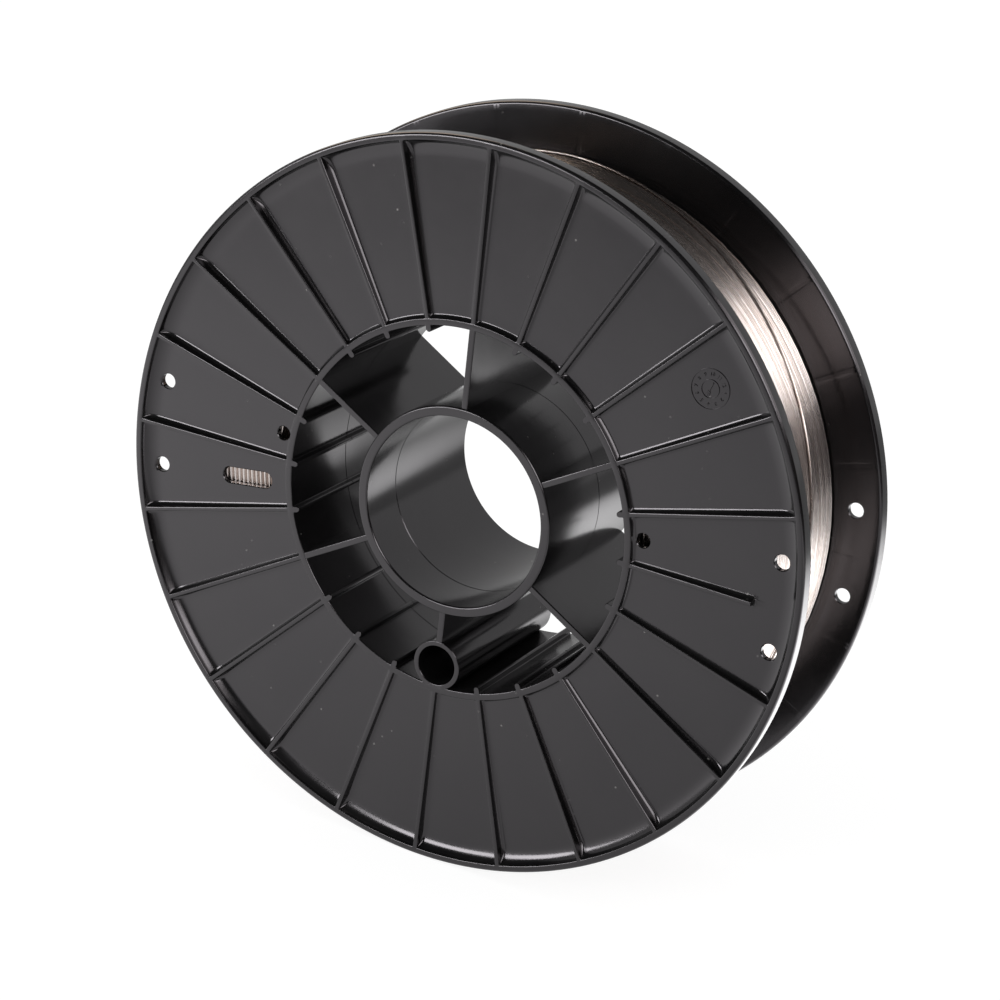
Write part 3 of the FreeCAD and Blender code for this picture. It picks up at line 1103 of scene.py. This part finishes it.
@dataclass(frozen=True)
class Studio:
    """The white surroundings, the pale floor, the lamp and the cards."""

    floor_height: float
    floor_size: float = 8.0
    floor_colour: Colour = (0.3, 0.3, 0.3)
    floor_seen: float = 0.86  # glow where the floor is seen
    floor_glow: float = 0.16  # glow in what shines
    ambient: float = 0.55
    around: tuple[Point, ...] = ((0.04, 0.1), (0.3, 0.5), (0.55, 0.6), (0.84, 0.58))
    pools: tuple[Pool, ...] = (
        Pool((-0.33, -0.2), 0.64, 1.25),
        Pool((0.27, 0.13), 0.26, 5.0),
        Pool((0.95, -0.55), 0.9, 1.6),
        Pool((-0.45, 0.5), 0.55, 1.1),
    )
    lamp: Softbox = Softbox("front_softbox", (-0.55, -0.83, 0.16), 1.6, 0.8, 0.5, 11.5)
    cards: tuple[Card, ...] = (
        Card("dark_card_above", -27.0, 35.5, (0.02, 0.02, 0.02)),
        Card("side_softbox", 37.0, 68.0, (2.4, 2.3, 2.28)),
        Card("near_softbox", 44.0, 64.0, (6.0, 5.9, 5.9), 0.85, 1.6, -1.15),
        Card("dark_card_right", 69.0, 104.0, (0.05, 0.04, 0.04)),
        Card("dark_card_left", -62.0, -27.0, (0.02, 0.02, 0.02), 0.9, 2.5, -1.25),
        Card("warm_card_left", -62.0, -27.0, (2.9, 2.45, 1.95), 0.9, 0.8, 0.4),
    )

    def surroundings(self) -> None:
        """Make the world white where it is seen, and softer where it lights or shines."""
        nodes = Nodes(bpy.data.worlds.new("studio"))
        path = nodes.add("LightPath").outputs
        seen = path["Is Camera Ray"]
        for kind in ("Is Glossy Ray", "Is Transmission Ray"):
            seen = nodes.maths("MAXIMUM", seen, path[kind])
        level = nodes.add("MapRange", Value=seen, To_Min=self.ambient)
        way = nodes.add("SeparateXYZ", nodes.add("TexCoord").outputs["Generated"])
        share = nodes.add("MapRange", Value=way.outputs["Y"], From_Min=-1.0)
        dimmed = nodes.add("FloatCurve", Value=share.outputs["Result"])
        points = dimmed.mapping.curves[0].points
        while len(points) < len(self.around):
            points.new(0.5, 0.5)
        for point, place in zip(points, self.around):
            point.location = place
        dimmed.mapping.update()
        chosen = nodes.add("Mix", Factor=path["Is Glossy Ray"], A=level.outputs["Result"],
                           B=dimmed.outputs["Value"])
        background = nodes.add("Background", Color=(1, 1, 1, 1),
                               Strength=chosen.outputs["Result"])
        nodes.add("OutputWorld", Surface=background.outputs[0])
        bpy.context.scene.world = nodes.owner

    def floor(self) -> None:
        """Lay the pale floor, which keeps a light shadow."""
        height = self.floor_height * MM
        bpy.ops.mesh.primitive_plane_add(size=self.floor_size, location=(0, 0, height))
        floor = settle(bpy.context.object, "floor")
        nodes = Nodes(bpy.data.materials.new("pale_floor"))
        place = nodes.add("TexCoord").outputs["Object"]
        shine = self.floor_glow
        for pool in self.pools:
            shine = nodes.maths("ADD", shine, pool.add(nodes, place, height))
        path = nodes.add("LightPath").outputs
        shone = nodes.maths("MULTIPLY", shine, path["Is Glossy Ray"])
        direct = nodes.maths("MAXIMUM", path["Is Camera Ray"], path["Is Transmission Ray"])
        glow = nodes.add(
            "Emission", Color=(1, 1, 1, 1),
            Strength=nodes.maths("MULTIPLY_ADD", direct, self.floor_seen, shone))
        diffuse = nodes.add("BsdfDiffuse", Color=(*self.floor_colour, 1))
        both = nodes.add("AddShader", diffuse.outputs[0], glow.outputs[0])
        nodes.add("OutputMaterial", Surface=both.outputs[0])
        floor.data.materials.append(nodes.owner)
        floor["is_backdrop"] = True

    def build(self) -> None:
        """Set up the floor, the surroundings, the lamp and the cards."""
        self.floor()
        self.surroundings()
        for piece in (self.lamp, *self.cards):
            piece.build()
        bpy.context.scene.view_settings.view_transform = "Standard"


# The spool

PARTING = 1.7  # of the parting plane from mid-width, towards the back
HUB_END_DEPTH = 1.0  # of the hub's end below the rim's face
DRIVING_DISTANCE = 44.0
TAIL_DISTANCE = 92.8
TAIL_ANGLES = (82.5, 97.5, 262.5, 277.5)
START_DISTANCE = 54.6
START_ANGLES = (82.5, 277.5)
WINDOW = PlateHole(half_width=2.25, distance=64.9, angle=262.5, reach=5.6)
WIRE_CLEARANCE = 0.05  # between the wire and the moulding


def bore_radius(record: dict, mount: str) -> float:
    """Read a hole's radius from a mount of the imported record."""
    found = [entry for entry in record["mounts"] if entry["name"] == mount]
    return found[0]["dims"]["r_mm"]


def plate_holes(record: dict) -> list[PlateHole]:
    """List the holes and the window of one half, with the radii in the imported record."""
    tail = bore_radius(record, "front_tail_hole_1")
    start = bore_radius(record, "front_start_hole_1")
    holes = [PlateHole(tail, TAIL_DISTANCE, angle) for angle in TAIL_ANGLES]
    holes += [PlateHole(start, START_DISTANCE, angle) for angle in START_ANGLES]
    return [*holes, WINDOW]


def finish_piece(obj: Object, material: bpy.types.Material, slot: str,
                 *nodes: str) -> None:
    """Give a piece its material and body, and hide the construction nodes it replaces."""
    obj.data.materials.clear()
    obj.data.materials.append(material)
    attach(obj, "root")
    if nodes:
        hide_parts(*nodes)


def build_halves(record: dict, flange: Flange) -> None:
    """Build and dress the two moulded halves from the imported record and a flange."""
    hub = Hub(bore_radius(record, "hub_bore"), flange.rim_top - HUB_END_DEPTH)
    tube = DrivingTube(bore_radius(record, "driving_hole"), DRIVING_DISTANCE, flange.ring_top)
    plastic = MouldedPlastic().build()
    for side, foot in ((Side.FRONT, -PARTING), (Side.BACK, PARTING)):
        name = side.value
        half = SpoolHalf(side, flange, hub, tube, plate_holes(record), foot)
        body = side.place(half.build(), name + "_flange_half")
        smooth(body, half.sharp_edge)
        finish_piece(body, plastic, "moulded_plastic", name + "_half")
        dial = side.place(DateDial(flange.floor_top).build(), name + "_date_dial")
        finish_piece(dial, plastic, "moulded_plastic")


def build_wire(flange: Flange) -> None:
    """Build and dress the wound wire that lies against a flange."""
    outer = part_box("wire_coil")[1].z / MM
    coil = WireCoil(flange.barrel_radius + WIRE_CLEARANCE, outer,
                    flange.plate_back - WIRE_CLEARANCE)
    wire = DrawnWire().build()
    finish_piece(coil.packed_body(), wire, "welding_wire", "wire_coil")
    finish_piece(coil.last_layer(), wire, "welding_wire")
    finish_piece(coil.crossing_turn(), wire, "welding_wire")


def main() -> None:
    """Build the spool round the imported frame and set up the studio."""
    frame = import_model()
    low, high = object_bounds()
    PhotographView().build()
    Studio(floor_height=low.z / MM).build()
    flange = Flange(radius=high.z / MM, rim_top=high.y / MM)
    build_halves(frame["record"], flange)
    build_wire(flange)


if __name__ == "__main__":
    main()
